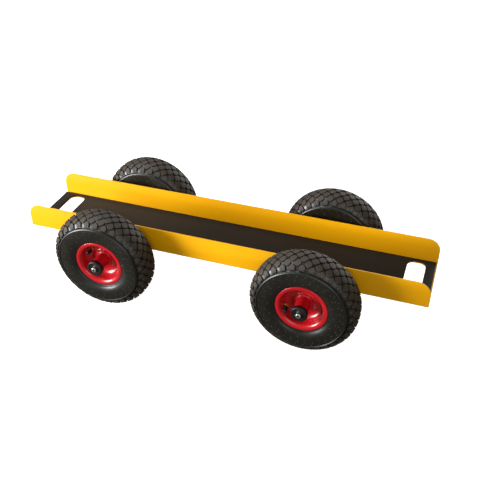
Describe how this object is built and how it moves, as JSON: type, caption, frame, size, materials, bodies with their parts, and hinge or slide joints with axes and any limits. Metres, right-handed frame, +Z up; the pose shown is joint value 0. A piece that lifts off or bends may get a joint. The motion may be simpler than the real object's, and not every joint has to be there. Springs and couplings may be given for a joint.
{
  "type": "beam trolley",
  "caption": "Four-wheeled floor trolley for beams and planks: a folded yellow channel with a rubber mat and hand slots, carried on pneumatic wheels with roller bearings.",
  "frame": {"origin": "on the ground, under the middle of the channel's length and width", "axes": "+X along the channel, +Y across it towards the rear wheels, +Z up"},
  "size_m": [1.03, 0.3974, 0.26],
  "materials": {
    "yellow_coat": "gloss powder coat, signal yellow",
    "mat_rubber": "matt, fine grain",
    "tyre_rubber": "moulded rubber, semi-matt sidewall and worn matt tread",
    "tube_rubber": "smooth butyl",
    "red_coat": "high gloss enamel",
    "bright_steel": "drawn and turned steel",
    "zinc_steel": "bright zinc plate",
    "brass": "turned brass, slightly dulled",
    "black_plastic": "glossy moulded plastic",
    "seal_plastic": "matt moulded plastic"
  },
  "bodies": {
    "chassis": {"channel": "yellow_coat", "mat": "mat_rubber", "axle_left": "bright_steel", "axle_right": "bright_steel", "axle_saddle_front_left": "yellow_coat", "axle_saddle_front_right": "yellow_coat", "axle_saddle_rear_left": "yellow_coat", "axle_saddle_rear_right": "yellow_coat", "stop_collar_front_left": "bright_steel", "hub_cap_front_left": "black_plastic", "cap_screw_front_left": "zinc_steel", "stop_collar_front_right": "bright_steel", "hub_cap_front_right": "black_plastic", "cap_screw_front_right": "zinc_steel", "stop_collar_rear_left": "bright_steel", "hub_cap_rear_left": "black_plastic", "cap_screw_rear_left": "zinc_steel", "stop_collar_rear_right": "bright_steel", "hub_cap_rear_right": "black_plastic", "cap_screw_rear_right": "zinc_steel"},
    "wheel_front_left": {"tyre_front_left": "tyre_rubber", "inner_tube_front_left": "tube_rubber", "rim_outer_front_left": "red_coat", "rim_inner_front_left": "red_coat", "hub_tube_front_left": "red_coat", "seal_outer_front_left": "seal_plastic", "seal_inner_front_left": "seal_plastic", "valve_stem_front_left": "brass", "valve_cap_front_left": "black_plastic"},
    "bearing_front_left": {"roller_cage_front_left": "bright_steel"},
    "wheel_front_right": {"tyre_front_right": "tyre_rubber", "inner_tube_front_right": "tube_rubber", "rim_outer_front_right": "red_coat", "rim_inner_front_right": "red_coat", "hub_tube_front_right": "red_coat", "seal_outer_front_right": "seal_plastic", "seal_inner_front_right": "seal_plastic", "valve_stem_front_right": "brass", "valve_cap_front_right": "black_plastic"},
    "bearing_front_right": {"roller_cage_front_right": "bright_steel"},
    "wheel_rear_left": {"tyre_rear_left": "tyre_rubber", "inner_tube_rear_left": "tube_rubber", "rim_outer_rear_left": "red_coat", "rim_inner_rear_left": "red_coat", "hub_tube_rear_left": "red_coat", "seal_outer_rear_left": "seal_plastic", "seal_inner_rear_left": "seal_plastic", "valve_stem_rear_left": "brass", "valve_cap_rear_left": "black_plastic"},
    "bearing_rear_left": {"roller_cage_rear_left": "bright_steel"},
    "wheel_rear_right": {"tyre_rear_right": "tyre_rubber", "inner_tube_rear_right": "tube_rubber", "rim_outer_rear_right": "red_coat", "rim_inner_rear_right": "red_coat", "hub_tube_rear_right": "red_coat", "seal_outer_rear_right": "seal_plastic", "seal_inner_rear_right": "seal_plastic", "valve_stem_rear_right": "brass", "valve_cap_rear_right": "black_plastic"},
    "bearing_rear_right": {"roller_cage_rear_right": "bright_steel"}
  },
  "joints": [
    {"name": "wheel_spin_front_left", "type": "hinge", "parent": "chassis", "child": "wheel_front_left", "pos_m": [-0.273, -0.14, 0.13], "axis": [0, 1, 0], "continuous": true},
    {"name": "cage_spin_front_left", "type": "hinge", "parent": "chassis", "child": "bearing_front_left", "pos_m": [-0.273, -0.14, 0.13], "axis": [0, 1, 0], "continuous": true},
    {"name": "wheel_spin_front_right", "type": "hinge", "parent": "chassis", "child": "wheel_front_right", "pos_m": [0.244, -0.14, 0.13], "axis": [0, 1, 0], "continuous": true},
    {"name": "cage_spin_front_right", "type": "hinge", "parent": "chassis", "child": "bearing_front_right", "pos_m": [0.244, -0.14, 0.13], "axis": [0, 1, 0], "continuous": true},
    {"name": "wheel_spin_rear_left", "type": "hinge", "parent": "chassis", "child": "wheel_rear_left", "pos_m": [-0.273, 0.14, 0.13], "axis": [0, 1, 0], "continuous": true},
    {"name": "cage_spin_rear_left", "type": "hinge", "parent": "chassis", "child": "bearing_rear_left", "pos_m": [-0.273, 0.14, 0.13], "axis": [0, 1, 0], "continuous": true},
    {"name": "wheel_spin_rear_right", "type": "hinge", "parent": "chassis", "child": "wheel_rear_right", "pos_m": [0.244, 0.14, 0.13], "axis": [0, 1, 0], "continuous": true},
    {"name": "cage_spin_rear_right", "type": "hinge", "parent": "chassis", "child": "bearing_rear_right", "pos_m": [0.244, 0.14, 0.13], "axis": [0, 1, 0], "continuous": true}
  ],
  "couplings": [
    {"joint": "cage_spin_front_left", "follows": "wheel_spin_front_left", "ratio": 0.5798},
    {"joint": "cage_spin_front_right", "follows": "wheel_spin_front_right", "ratio": 0.5798},
    {"joint": "cage_spin_rear_left", "follows": "wheel_spin_rear_left", "ratio": 0.5798},
    {"joint": "cage_spin_rear_right", "follows": "wheel_spin_rear_right", "ratio": 0.5798}
  ]
}
